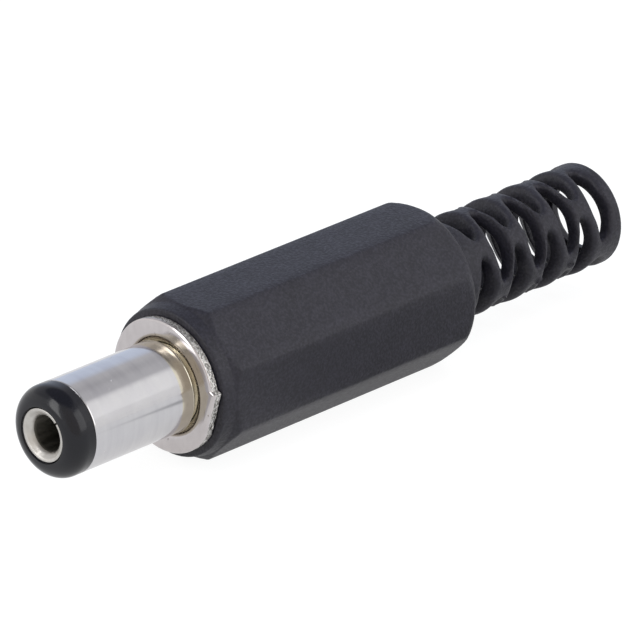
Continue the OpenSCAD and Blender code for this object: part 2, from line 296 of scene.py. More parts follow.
# Resolution of the meshes; HOLD is how near points stand to an edge to keep the face beside it flat
HOLD = 0.04
ARC_STEPS = 4
ARC_STEPS_PER_MM = 10
ROUND_SEGMENTS = 160
RIM_SEGMENTS = 640
ROLL_ROWS = 8
TORN_ROWS = 9
FLAT_COLUMNS = 9
EDGE_COLUMNS = 7
COLLAR_SPACING = 0.05
THREAD_STATIONS = 12
THREAD_SPACING = THREAD_PITCH / THREAD_STATIONS
SLOT_POINTS = 64
SLOT_SEARCH_POINTS = 6 * SLOT_POINTS
SLOT_ROUNDING = np.radians((24, 46, 68, 90))
ROW_KEPT_SHARE = 0.9
SHELL_SPACING = 0.24
MARK_RINGS = 8
MARK_POINTS = 18
NOISE_LOOP = 2
ALL_TRIANGLES = 0
TRIANGLE_TOLERANCE = 1e-9
SAME_PLACE = 1e-5
CAD_SAME_PLACE = 1e-4
SAME_RADIUS = 1e-6
FLAT_BELOW = math.radians(1)
SMOOTH_BELOW = math.radians(35)
HANDLE_SMOOTH_BELOW = math.radians(50)
TAG_SMOOTH_BELOW = math.radians(40)


class Shape:
    """Points and faces of one mesh while it is put together, in millimetres."""

    def __init__(self):
        self.points = []
        self.faces = []
        self.marks = []

    def add_points(self, points):
        """Adds points and returns their numbers in the same arrangement."""
        points = np.asarray(points, float)
        start = len(self.points)
        self.points.extend(points.reshape(-1, 3))
        return np.arange(start, len(self.points)).reshape(points.shape[:-1])

    def add_faces(self, faces, mark=0):
        """Adds faces that take the material slot given by mark."""
        for face in faces:
            self.faces.append([int(i) for i in face])
            self.marks.append(mark)

    def add_grid(self, points, closed_rows=False, closed_columns=True, marks=None):
        """Adds a grid of points with its faces; marks gives each row of faces its material slot."""
        ids = self.add_points(points)
        rows, columns = ids.shape
        for row in range(rows if closed_rows else rows - 1):
            next_row = (row + 1) % rows
            mark = marks[row] if marks else 0
            for column in range(columns if closed_columns else columns - 1):
                next_column = (column + 1) % columns
                corners = (ids[row, column], ids[row, next_column],
                           ids[next_row, next_column], ids[next_row, column])
                self.add_faces([corners], mark)
        return ids


def add_object(name, data):
    """Links a new object into the scene."""
    thing = bpy.data.objects.new(name, data)
    bpy.context.scene.collection.objects.link(thing)
    return thing


def place(name, mesh, materials, node, smooth_below):
    """Links a finished mesh as a smooth object in a CAD node's place, riding where the node rides."""
    for material in materials:
        mesh.materials.append(material)
    mesh.shade_smooth()
    mesh.set_sharp_from_angle(angle=smooth_below)
    piece = add_object(name, mesh)
    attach(piece, frame["nodes"][node]["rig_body"])
    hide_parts(node)


def make_piece(name, shape, materials, node, smooth_below=SMOOTH_BELOW):
    """Makes the shape into a mesh with its faces turned outwards, and places it."""
    mesh = bpy.data.meshes.new(name)
    mesh.from_pydata([Vector(point) * MM for point in shape.points], [], shape.faces)
    mesh.polygons.foreach_set("material_index", shape.marks)
    work = bmesh.new()
    work.from_mesh(mesh)
    bmesh.ops.remove_doubles(work, verts=work.verts, dist=SAME_PLACE * MM)
    bmesh.ops.recalc_face_normals(work, faces=work.faces)
    work.to_mesh(mesh)
    work.free()
    place(name, mesh, materials, node, smooth_below)


def corner_arc(before, corner, after):
    """Points of the arc that rounds a corner (x, radius, fillet) between its two neighbours."""
    here = np.array(corner[:2])
    fillet = corner[2]
    back = np.array(before[:2]) - here
    back = back / np.linalg.norm(back)
    onward = np.array(after[:2]) - here
    onward = onward / np.linalg.norm(onward)
    half = math.acos(np.clip(back @ onward, -1, 1)) / 2
    reach = fillet / math.tan(half)
    middle = (back + onward) / np.linalg.norm(back + onward)
    centre = here + middle * reach / math.cos(half)
    start = here + back * reach - centre
    stop = here + onward * reach - centre
    turn = math.pi - 2 * half
    steps = ARC_STEPS + int(ARC_STEPS_PER_MM * fillet)
    arc = []
    for share in np.linspace(0, 1, steps + 1):
        spoke = math.sin((1 - share) * turn) * start + math.sin(share * turn) * stop
        arc.append(centre + spoke / math.sin(turn))
    return arc


def rounded(corners, closed=False):
    """Outline through corners (x, radius, fillet), with points near the arcs that hold the straights."""
    count = len(corners)
    arcs = []
    for i, corner in enumerate(corners):
        is_end = not closed and i in (0, count - 1)
        if corner[2] == 0 or is_end:
            arcs.append([np.array(corner[:2])])
        else:
            arcs.append(corner_arc(corners[i - 1], corner, corners[(i + 1) % count]))
    path = []
    for i, arc in enumerate(arcs):
        path.extend(arc)
        if closed or i < count - 1:
            following = arcs[(i + 1) % count][0]
            gap = following - arc[-1]
            length = np.linalg.norm(gap)
            if length > 3 * HOLD:
                hold = gap * HOLD / length
                path.extend([arc[-1] + hold, following - hold])
    return np.array(path)


def refine(path, spacing, x0, x1):
    """Adds stations to an outline where it runs from x0 to x1 in longer steps than spacing."""
    fine = [path[0]]
    for here, following in zip(path[:-1], path[1:]):
        gap = following - here
        inside = min(here[0], following[0]) > x0 - HOLD and max(here[0], following[0]) < x1 + HOLD
        steps = max(1, math.ceil(np.linalg.norm(gap) / spacing)) if inside else 1
        fine.extend(here + gap * step / steps for step in range(1, steps + 1))
    return np.array(fine)


def evenly(count):
    """Angles spread evenly round the axis."""
    return np.arange(count) * TURN / count


def spin(path, angles, radius=None):
    """Points of an outline turned to each angle; radius(x, r, angle) may change the radius."""
    x, r = path[:, :1], path[:, 1:]
    angles = np.broadcast_to(angles, (len(path), np.shape(angles)[-1]))
    r = radius(x, r, angles) if radius else r
    return np.stack([x + 0 * angles, r * np.cos(angles), r * np.sin(angles)], axis=-1)


def ring_noise(angles, reach, height):
    """Smooth noise round a ring, which closes on itself."""
    spots = [Vector((reach * math.cos(angle), reach * math.sin(angle), height)) for angle in angles]
    return np.array([noise.noise(spot) for spot in spots])


def thread_ridge(x, angle):
    """Height of a rounded thread, from 0 to 1, at a place along and round the axis."""
    phase = x / THREAD_PITCH - angle / TURN
    wave = 0.5 + 0.5 * np.cos(TURN * phase)
    return wave * wave * (3 - 2 * wave)


def fade(x, x0, x1, run):
    """1 between x0 and x1, fading to 0 over run at either end."""
    return np.clip((x - x0) / run, 0, 1) * np.clip((x1 - x) / run, 0, 1)


# Material nodes: spans of noise that are used, spacing of specks, and the colour sockets of a mix node
NOISE_SPAN = (0.3, 0.7)
TIGHT_SPAN = (0.35, 0.65)
SPECK_SPACING = 0.85
MIX_FIRST = 6
MIX_SECOND = 7
MIX_RESULT = 2


def new_material(name, **sockets):
    """Material with a Principled shader whose plain sockets are set by name."""
    material = bpy.data.materials.new(name)
    material.use_nodes = True
    shader = material.node_tree.nodes["Principled BSDF"]
    for socket, value in sockets.items():
        shader.inputs[socket.replace("_", " ")].default_value = value
    return material, material.node_tree, shader


def add_node(tree, kind, links=None, **settings):
    """Adds a node; links maps its inputs to sockets or values, and settings are its own attributes."""
    node = tree.nodes.new(kind)
    for name, value in settings.items():
        setattr(node, name, value)
    for name, value in (links or {}).items():
        if isinstance(value, bpy.types.NodeSocket):
            tree.links.new(value, node.inputs[name])
        else:
            node.inputs[name].default_value = value
    return node


def place_on_part(tree, stretch=(1, 1, 1)):
    """Place on the object in metres, stretched along the axes."""
    own = add_node(tree, "ShaderNodeTexCoord").outputs["Object"]
    return add_node(tree, "ShaderNodeMapping", {"Vector": own, "Scale": stretch}).outputs["Vector"]


def grain(tree, size_mm, detail=3, stretch=(1, 1, 1)):
    """Noise whose spots are about size_mm across."""
    links = {"Vector": place_on_part(tree, stretch), "Scale": 1 / (size_mm * MM), "Detail": detail}
    return add_node(tree, "ShaderNodeTexNoise", links).outputs["Fac"]


def spread(tree, value, span, result):
    """Maps a value from one span to another, clamped."""
    links = {
        "Value": value,
        "From Min": span[0], "From Max": span[1],
        "To Min": result[0], "To Max": result[1],
    }
    return add_node(tree, "ShaderNodeMapRange", links).outputs["Result"]


def combine(tree, operation, first, second):
    """Joins two numbers by a math operation."""
    return add_node(tree, "ShaderNodeMath", {0: first, 1: second}, operation=operation).outputs[0]


def blend_colours(tree, share, first, second):
    """Mixes two colours by a share."""
    mix = add_node(tree, "ShaderNodeMix", {"Factor": share}, data_type="RGBA")
    for socket, colour in ((mix.inputs[MIX_FIRST], first), (mix.inputs[MIX_SECOND], second)):
        if isinstance(colour, bpy.types.NodeSocket):
            tree.links.new(colour, socket)
        else:
            socket.default_value = (*colour, 1)
    return mix.outputs[MIX_RESULT]


def bump(tree, height, depth_mm, strength, under=None):
    """Normal that follows a height, on top of another bump if one is given."""
    links = {"Height": height, "Distance": depth_mm * MM, "Strength": strength}
    if under:
        links["Normal"] = under
    return add_node(tree, "ShaderNodeBump", links).outputs["Normal"]


def connect(tree, shader, **sockets):
    """Links sockets of a shader by name."""
    for name, value in sockets.items():
        tree.links.new(value, shader.inputs[name.replace("_", " ")])


# Materials
def matt_plastic(name, dark, light, roughness):
    """Black moulding with a fine spark-eroded grain and a slight mottle."""
    material, tree, shader = new_material(name, Specular_IOR_Level=0.42)
    fine = grain(tree, size_mm=0.16, detail=4)
    patches = grain(tree, size_mm=1.6)
    fine_tone = spread(tree, fine, span=(0.42, 0.7), result=(0, 0.75))
    patch_tone = spread(tree, patches, span=(0.35, 0.7), result=(0, 0.25))
    tone = combine(tree, "ADD", fine_tone, patch_tone)
    surface = bump(tree, patches, depth_mm=0.03, strength=0.15)
    surface = bump(tree, fine, depth_mm=0.035, strength=1, under=surface)
    connect(tree, shader, Base_Color=blend_colours(tree, tone, dark, light), Normal=surface,
            Roughness=spread(tree, fine, NOISE_SPAN, result=(roughness + 0.06, roughness - 0.06)))
    return material


def gloss_plastic(name, dark, light):
    """Glossy black moulding with faint flow marks."""
    material, tree, shader = new_material(name, Specular_IOR_Level=0.37)
    flow = grain(tree, size_mm=0.9, detail=2, stretch=(0.5, 1, 1))
    fine = grain(tree, size_mm=0.1)
    tone = spread(tree, fine, NOISE_SPAN, result=(0, 1))
    connect(tree, shader, Base_Color=blend_colours(tree, tone, dark, light),
            Roughness=spread(tree, fine, NOISE_SPAN, result=(0.12, 0.2)),
            Normal=bump(tree, flow, depth_mm=0.02, strength=0.15))
    return material


def pinhead_specks(tree):
    """Height of small specks that stand here and there in the plating."""
    links = {"Vector": place_on_part(tree), "Scale": 1 / (SPECK_SPACING * MM)}
    cells = add_node(tree, "ShaderNodeTexVoronoi", links)
    return spread(tree, cells.outputs["Distance"], span=(0.03, 0.075), result=(1, 0))


def painted_along(tree, colour, painted_bands):
    """Colour that turns into each painted band's colour (start x, full x, colour) along the axis."""
    along = add_node(tree, "ShaderNodeSeparateXYZ", {"Vector": place_on_part(tree)}).outputs["X"]
    for start_x, full_x, band_colour in painted_bands:
        share = spread(tree, along, span=(start_x * MM, full_x * MM), result=(0, 1))
        colour = blend_colours(tree, share, colour, band_colour)
    return colour


def bright_nickel(name, colour, shade, roughness, stretch, painted_bands=()):
    """Plated metal with fine lines, pinhead specks and a soft tone change; painted bands colour it along X
    with painted reflection and painted light.
    """
    material, tree, shader = new_material(name, Metallic=1, Anisotropic=0.4)
    lines = grain(tree, size_mm=0.35, detail=4, stretch=stretch)
    clouds = grain(tree, size_mm=1.4, detail=2)
    line_tone = spread(tree, lines, NOISE_SPAN, result=(0, 0.6))
    cloud_tone = spread(tree, clouds, TIGHT_SPAN, result=(0, 0.4))
    plating = blend_colours(tree, combine(tree, "ADD", line_tone, cloud_tone), colour, shade)
    surface = bump(tree, lines, depth_mm=0.004, strength=0.25)
    surface = bump(tree, pinhead_specks(tree), depth_mm=0.05, strength=1, under=surface)
    # Bands of painted reflection and painted light along the axis
    if painted_bands:
        plating = painted_along(tree, plating, painted_bands)
    connect(tree, shader, Base_Color=plating, Normal=surface,
            Roughness=spread(tree, lines, NOISE_SPAN, result=(0.75 * roughness, 1.3 * roughness)))
    return material


def torn_metal(name, bright, dull):
    """Sheared edge of a stamping: coarse bright crystals over a dull break."""
    material, tree, shader = new_material(name, Metallic=1)
    coarse = grain(tree, size_mm=0.14, detail=5)
    fine = grain(tree, size_mm=0.05)
    tone = spread(tree, coarse, span=(0.42, 0.56), result=(0, 1))
    surface = bump(tree, coarse, depth_mm=0.11, strength=1)
    surface = bump(tree, fine, depth_mm=0.02, strength=0.6, under=surface)
    connect(tree, shader, Base_Color=blend_colours(tree, tone, dull, bright), Normal=surface,
            Roughness=spread(tree, fine, TIGHT_SPAN, result=(0.5, 0.25)))
    return material


def tinned_metal(name, dull, bright):
    """Dip-tinned brass with soft ripples."""
    material, tree, shader = new_material(name, Metallic=1)
    ripples = grain(tree, size_mm=0.7)
    fine = grain(tree, size_mm=0.08)
    tone = spread(tree, ripples, TIGHT_SPAN, result=(0, 1))
    surface = bump(tree, ripples, depth_mm=0.04, strength=0.3)
    surface = bump(tree, fine, depth_mm=0.006, strength=0.4, under=surface)
    connect(tree, shader, Base_Color=blend_colours(tree, tone, dull, bright), Normal=surface,
            Roughness=spread(tree, fine, NOISE_SPAN, result=(0.22, 0.4)))
    return material


def pressed_fibre(name, dark, light):
    """Brown vulcanised fibre with short strands."""
    material, tree, shader = new_material(name, Specular_IOR_Level=0.3)
    strands = grain(tree, size_mm=0.12, detail=4, stretch=(1, 1, 3))
    tone = spread(tree, strands, TIGHT_SPAN, result=(0, 1))
    connect(tree, shader, Base_Color=blend_colours(tree, tone, dark, light),
            Roughness=spread(tree, strands, NOISE_SPAN, result=(0.85, 0.65)),
            Normal=bump(tree, strands, depth_mm=0.03, strength=0.5))
    return material


# Painted bands at the barrel's foot: a tan band of painted reflection, then a lighter band of painted
# light in the groove at the burr; and the ways in which drawing, turning and rolling stretch the lines
FOOT_PAINTED_REFLECTIONS = [(0.98, 0.9, (0.6, 0.56, 0.46)), (0.02, -0.06, (0.8, 0.76, 0.67))]
TURNED = (1, 0.05, 0.05)
DRAWN = (0.2, 1, 1)
ROLLED = (1, 1, 0.5)

HANDLE_PLASTIC = matt_plastic("handle_plastic", (0.0125, 0.0115, 0.017), (0.031, 0.0285, 0.0405), 0.52)
BUSH_PLASTIC = matt_plastic("bush_plastic", (0.01, 0.01, 0.011), (0.024, 0.024, 0.026), 0.42)
NOSE_PLASTIC = gloss_plastic("nose_plastic", (0.006, 0.006, 0.009), (0.009, 0.009, 0.0135))
# The barrel's foot gets a painted tan reflection, and a lighter band of painted light in the groove
BARREL_NICKEL = bright_nickel("barrel_nickel", (0.59, 0.58, 0.59), (0.53, 0.52, 0.54), 0.12, TURNED,
                              painted_bands=FOOT_PAINTED_REFLECTIONS)
CONTACT_NICKEL = bright_nickel("contact_nickel", (0.6, 0.58, 0.55), (0.52, 0.5, 0.47), 0.44, DRAWN)
# Dark, dull metal for the contact's bore: painted shade inside the tube
CONTACT_BORE_PAINTED_SHADE = bright_nickel("contact_bore", (0.24, 0.23, 0.2), (0.18, 0.17, 0.15), 0.6, DRAWN)
FLANGE_NICKEL = bright_nickel("flange_nickel", (0.58, 0.545, 0.545), (0.52, 0.485, 0.485), 0.15, ROLLED)
# Lighter, warmer metal for the flange's hole: painted light in the groove round the barrel
FLANGE_HOLE_PAINTED_LIGHT = bright_nickel("flange_hole", (0.76, 0.725, 0.65), (0.68, 0.645, 0.58), 0.25, ROLLED)
FLANGE_EDGE = torn_metal("flange_edge", (1, 0.98, 0.95), (0.48, 0.46, 0.43))
TAG_METAL = tinned_metal("tag_metal", (0.6, 0.58, 0.54), (0.74, 0.73, 0.7))
WASHER_FIBRE = pressed_fibre("washer_fibre", (0.2, 0.1, 0.05), (0.42, 0.25, 0.13))


# Turned and moulded pieces of the contact unit
def make_barrel():
    """Sleeve contact with a fine burr at its foot and a rolled-over rear edge."""
    tag_back = BARREL_BACK_X + RIVET_THICKNESS
    path = rounded([
        (BARREL_FRONT_X, BARREL_BORE_R, FINE_BREAK), (BARREL_FRONT_X, BARREL_R, EDGE_BREAK),
        (FOOT_BURR_X + FOOT_BURR_RUN, BARREL_R, FOOT_BLEND),
        (FOOT_BURR_X, BARREL_R + FOOT_BURR, EDGE_BREAK), (-SHOULDER, SHANK_R, EDGE_BREAK),
        (tag_back, SHANK_R, 0), (tag_back, BARREL_RIVET_R, EDGE_BREAK),
        (BARREL_BACK_X, BARREL_RIVET_R, RIVET_ROUND), (BARREL_BACK_X, BARREL_BORE_R, RIVET_BORE_ROUND),
    ], closed=True)
    shape = Shape()
    shape.add_grid(spin(path, evenly(ROUND_SEGMENTS)), closed_rows=True)
    make_piece("barrel_sleeve", shape, [BARREL_NICKEL], "outer_barrel")


def make_nose():
    """Moulded nose with the insulating sleeve behind it."""
    nose_back = BARREL_FRONT_X + FIT_GAP
    sleeve_r = BARREL_BORE_R - FIT_GAP
    lip_hole = MOUTH_R + FIT_GAP
    bore = CONTACT_R + FIT_GAP
    tail_hole = TAIL_R + FIT_GAP
    floor_x = CONTACT_BACK_X - FIT_GAP
    path = rounded([
        (TIP_X, lip_hole, NOSE_HOLE_BREAK), (TIP_X, BARREL_R, NOSE_ROUND),
        (nose_back, BARREL_R, EDGE_BREAK), (nose_back, sleeve_r, 0),
        (SLEEVE_BACK_X, sleeve_r, EDGE_BREAK), (SLEEVE_BACK_X, tail_hole, HOLE_BREAK),
        (floor_x, tail_hole, 0), (floor_x, bore, EDGE_BREAK),
        (LIP_BACK_X, bore, 0), (MOUTH_X, lip_hole, 0),
    ], closed=True)
    shape = Shape()
    shape.add_grid(spin(path, evenly(ROUND_SEGMENTS)), closed_rows=True)
    make_piece("nose_insulator", shape, [NOSE_PLASTIC], "tip_insulator")


def add_contact_tube(shape):
    """Rolled tube with an open seam, a dished mouth and a dull bore darkened with painted shade."""
    outside, bore = 0, 1
    tube = rounded([
        (MOUTH_X, MOUTH_R - LIP_LAND, LIP_FRONT_ROUND), (MOUTH_X, MOUTH_R, EDGE_BREAK),
        (LIP_BACK_X, CONTACT_R, EDGE_BREAK), (CONTACT_FLOOR_X, CONTACT_R, 0),
        (CONTACT_FLOOR_X, CONTACT_BORE_R, 0), (LIP_BACK_X, CONTACT_BORE_R, LIP_BACK_ROUND),
    ], closed=True)
    share = np.linspace(0, 1, ROUND_SEGMENTS)[None, :]
    slit = np.arcsin(SEAM_WIDTH / 2 / tube[:, 1:])
    points = spin(tube, SEAM_ANGLE + slit + share * (TURN - 2 * slit))
    # Rows inside the bore take the darker material: painted shade
    marks = [bore if r < BORE_PAINTED_SHADE_R else outside for r in tube[:, 1]]
    ids = shape.add_grid(points, closed_rows=True, closed_columns=False, marks=marks)
    shape.add_faces([ids[:, 0], ids[:, -1]])


def add_contact_tail(shape):
    """Hollow tail behind the tube, rolled over like a rivet."""
    tail_front = TAIL_BACK_X + RIVET_THICKNESS
    tail = rounded([
        (CONTACT_FLOOR_X, TAIL_BORE_R, EDGE_BREAK), (CONTACT_FLOOR_X, CONTACT_R, 0),
        (CONTACT_BACK_X, CONTACT_R, EDGE_BREAK), (CONTACT_BACK_X, TAIL_R, 0), (tail_front, TAIL_R, 0),
        (tail_front, TAIL_RIVET_R, FINE_BREAK), (TAIL_BACK_X, TAIL_RIVET_R, TAIL_RIVET_ROUND),
        (TAIL_BACK_X, TAIL_BORE_R, RIVET_BORE_ROUND),
    ], closed=True)
    shape.add_grid(spin(tail, evenly(ROUND_SEGMENTS)), closed_rows=True)


def make_contact():
    """Centre contact: tube and tail."""
    shape = Shape()
    add_contact_tube(shape)
    add_contact_tail(shape)
    make_piece("contact_tube", shape, [CONTACT_NICKEL, CONTACT_BORE_PAINTED_SHADE], "inner_contact")


def flange_rim(angle):
    """Radius of the stamped rim: a circle with a sheared flat, and a nib at the flat's upper end."""
    off = (angle - SHEAR_ANGLE + math.pi) % TURN - math.pi
    nib_end = math.sqrt((FLANGE_R + NIB_HEIGHT) ** 2 - SHEAR_R**2)
    nib_angle = math.atan2(nib_end, SHEAR_R)
    nib_back = math.atan2(nib_end + NIB_HEIGHT / 2, SHEAR_R - NIB_HEIGHT)
    flat = SHEAR_R / np.cos(np.clip(off, -SHEAR_LIMIT_ANGLE, nib_angle))
    past = np.clip((off - nib_angle) / (nib_back - nib_angle), 0, 1)
    nib = flat + (FLANGE_R - flat) * past
    return np.where(off > 0, np.where(off < nib_back, nib, FLANGE_R), np.minimum(flat, FLANGE_R))


def rim_rows():
    """Rows of the rim as depth below the face and inset from its outline: rolled edge, tear and back."""
    thickness = FLANGE_FRONT_X - FLANGE_BACK_X
    turns = np.linspace(0, math.pi / 2, ROLL_ROWS)
    roll = [(ROLLOVER_DEPTH * (1 - math.cos(turn)), ROLLOVER_WIDTH * (1 - math.sin(turn)))
            for turn in turns]
    torn = [(depth, 0) for depth in np.linspace(ROLLOVER_DEPTH, thickness - HOLD, TORN_ROWS)[1:]]
    return [(0, ROLLOVER_WIDTH + HOLD), *roll, *torn, (thickness, EDGE_BREAK)]


def make_flange():
    """Stamped disc: countersunk hole, rolled-over front edge and a torn, slightly ragged rim."""
    face, edge, hole = 0, 1, 2
    angles = evenly(RIM_SEGMENTS)
    rim = flange_rim(angles)
    face_r = (FLANGE_R + COUNTERSINK_R) / 2
    hole_top = FLANGE_FRONT_X - (COUNTERSINK_R - SHANK_HOLE_R)
    inner = rounded([
        (FLANGE_BACK_X, face_r, 0), (FLANGE_BACK_X, SHANK_HOLE_R, HOLE_BREAK),
        (hole_top, SHANK_HOLE_R, HOLE_BREAK), (FLANGE_FRONT_X, COUNTERSINK_R, COUNTERSINK_ROUND),
        (FLANGE_FRONT_X, face_r, 0),
    ])
    rows = list(spin(inner, angles))
    # Rows inside the hole take the lighter material: painted light
    marks = [hole if r < HOLE_PAINTED_LIGHT_R else face for r in inner[:, 1]]
    inset_waver = 1 + ROLLOVER_WAVER * ring_noise(angles, NOISE_LOOP, ROLLOVER_NOISE)
    for depth, inset in rim_rows():
        x = FLANGE_FRONT_X - depth
        ragged = RAGGED_DEPTH * np.clip((depth - ROLLOVER_DEPTH) / RAGGED_RUN, 0, 1)
        rough = 0.5 + 0.5 * ring_noise(angles, RAGGED_SCALE * FLANGE_R, RAGGED_SCALE * x)
        radius = rim - inset * inset_waver - ragged * rough
        stations = np.full_like(angles, x)
        rows.append(np.stack([stations, radius * np.cos(angles), radius * np.sin(angles)], axis=-1))
        marks.append(edge if depth > TORN_FROM else face)
    shape = Shape()
    shape.add_grid(np.array(rows), closed_rows=True, marks=marks)
    make_piece("flange_stamping", shape, [FLANGE_NICKEL, FLANGE_EDGE, FLANGE_HOLE_PAINTED_LIGHT], "flange_plate")


def make_bush():
    """Moulded bush with its outside thread."""
    groove_x = BUSH_FRONT_X - GROOVE_WIDTH
    root_r = THREAD_R - THREAD_DEPTH
    path = rounded([
        (BUSH_FRONT_X, SHANK_HOLE_R, 0), (BUSH_FRONT_X, root_r, FINE_BREAK),
        (groove_x, root_r, FINE_BREAK), (groove_x - THREAD_DEPTH, THREAD_R, FINE_BREAK),
        (BUSH_BACK_X + BUSH_CHAMFER, THREAD_R, FINE_BREAK),
        (BUSH_BACK_X, THREAD_R - BUSH_CHAMFER, FINE_BREAK), (BUSH_BACK_X, SHANK_HOLE_R, 0),
    ])
    path = refine(path, THREAD_SPACING, BUSH_BACK_X, groove_x)

    def threaded(x, r, angle):
        cut = THREAD_DEPTH * thread_ridge(x, angle)
        return np.where(r > root_r, np.maximum(r - cut, root_r), r)

    shape = Shape()
    shape.add_grid(spin(path, evenly(ROUND_SEGMENTS), threaded), closed_rows=True)
    make_piece("bush_thread", shape, [BUSH_PLASTIC], "threaded_bush")


def softened_copy(name, node, material, width):
    """Copy of a CAD node with its sharp edges broken by a small bevel."""
    work = bmesh.new()
    work.from_mesh(frame["nodes"][node].data)
    bmesh.ops.remove_doubles(work, verts=work.verts, dist=CAD_SAME_PLACE * MM)
    bmesh.ops.dissolve_limit(work, angle_limit=FLAT_BELOW, verts=work.verts, edges=work.edges)
    sharp = [edge for edge in work.edges
             if edge.is_manifold and edge.calc_face_angle() > TAG_SMOOTH_BELOW]
    bmesh.ops.bevel(work, geom=sharp, offset=width * MM, offset_type="OFFSET", segments=2, profile=0.5,
                    affect="EDGES", clamp_overlap=True)
    mesh = bpy.data.meshes.new(name)
    work.to_mesh(mesh)
    work.free()
    place(name, mesh, [material], node, TAG_SMOOTH_BELOW)


# Octagonal grip
def octagon_columns():
    """Angles and radii round the octagon, closer together where its edges are rounded."""
    half = (HANDLE_FLAT_R - OCTAGON_EDGE_ROUND) * math.tan(OCTAGON_TURN)
    along = [-half, -half + HOLD, *np.linspace(-half, half, FLAT_COLUMNS)[1:-1], half - HOLD, half]
    outline = [(HANDLE_FLAT_R, across) for across in along]
    for turn in np.linspace(0, 2 * OCTAGON_TURN, EDGE_COLUMNS)[1:-1]:
        outline.append((HANDLE_FLAT_R - OCTAGON_EDGE_ROUND * (1 - math.cos(turn)),
                        half + OCTAGON_EDGE_ROUND * math.sin(turn)))
    facings = 2 * OCTAGON_TURN * np.arange(OCTAGON_SIDES)
    angles = [facing + math.atan2(across, out) for facing in facings for out, across in outline]
    radii = [math.hypot(out, across) for out, across in outline] * OCTAGON_SIDES
    return np.array(angles), np.array(radii)


COLUMNS, OCTAGON_R = octagon_columns()


def smaller(first, second, width):
    """Smaller of two sizes, with a soft change from one to the other."""
    share = np.clip(0.5 + 0.5 * (second - first) / width, 0, 1)
    return second + (first - second) * share - width * share * (1 - share)


def handle_radius(x, r, angle):
    """Radius of the handle's outline at an angle: the octagon outside, and the thread in the bore."""
    start = HANDLE_FRONT_X - MOUTH_CHAMFER - HOLD
    ridge = thread_ridge(x, angle) * fade(x, start - BORE_THREAD_LENGTH, start, THREAD_PITCH / 2)
    in_bore = np.abs(r - CAVITY_R) < SAME_RADIUS
    return smaller(OCTAGON_R[None, :], r + in_bore * THREAD_DEPTH * ridge, BLEND_WIDTH)


def grip_outline(root_x):
    """Outline of the grip from the end of its bore, round the front, to the strain relief's root."""
    path = rounded([
        (FUNNEL_END_X, RELIEF_BORE_R, 0), (CAVITY_BACK_X, CAVITY_R, CAVITY_ROUND),
        (HANDLE_FRONT_X - MOUTH_CHAMFER, CAVITY_R, FINE_BREAK),
        (HANDLE_FRONT_X, CAVITY_R + MOUTH_CHAMFER, EDGE_BREAK),
        (HANDLE_FRONT_X, COLLAR_R, COLLAR_FRONT_ROUND),
        (COLLAR_BACK_X, COLLAR_BACK_R, COLLAR_BACK_ROUND),
        (OCTAGON_X, HANDLE_CORNER_R, OCTAGON_FRONT_ROUND), (HANDLE_REAR_X, HANDLE_CORNER_R, REAR_ROUND),
        (HANDLE_REAR_X, RELIEF_R, ROOT_ROUND), (root_x, RELIEF_R, 0),
    ])
    first_half = path[:len(path) // 2, 1]
    bore_end = np.flatnonzero(first_half < CAVITY_R + SAME_RADIUS)[-1] + 1
    thread_start = HANDLE_FRONT_X - BORE_THREAD_LENGTH - THREAD_MARGIN
    bore = refine(path[:bore_end], THREAD_SPACING, thread_start, HANDLE_FRONT_X)
    outside = refine(path[bore_end:], COLLAR_SPACING, OCTAGON_X - OCTAGON_FRONT_ROUND, HANDLE_FRONT_X)
    return np.concatenate([bore, outside])


# Slotted strain relief
def slot_half_width(across, width):
    """Half the width of a slot at a distance across from its middle."""
    return np.sqrt(SLOT_ARC_R**2 - across**2) - (SLOT_ARC_R - width / 2)


def slot_outline(half_length, width, count):
    """Places (round, along) on a slot's edge: two long arcs with rounded ends."""
    turn = evenly(count)
    across = half_length * np.cos(turn)
    past = np.clip((np.abs(across) - half_length + SLOT_END_ROUND) / SLOT_END_ROUND, 0, 1)
    return across, slot_half_width(across, width) * np.sqrt(1 - past**2) * np.sign(np.sin(turn))


def kept_width(slot_angle, slot_x, flash):
    """Share of a slot's width that flash leaves open: less by the handle and on the flashed side."""
    by_handle = np.clip((slot_x - FIRST_SLOT_X) / (HANDLE_REAR_X - FIRST_SLOT_X), 0, 1)
    return 1 - flash * np.maximum(by_handle, np.cos(slot_angle - FLASH_ANGLE))


def slot_places():
    """Angle and x of every slot, in staggered rows."""
    step = TURN / SLOT_COUNT
    for row in range(SLOT_ROWS):
        x = FIRST_SLOT_X + row * SLOT_PITCH
        for i in range(SLOT_COUNT):
            yield SLOT_ANGLE + i * step, x
            yield SLOT_ANGLE + (i + 0.5) * step, x + SLOT_STAGGER


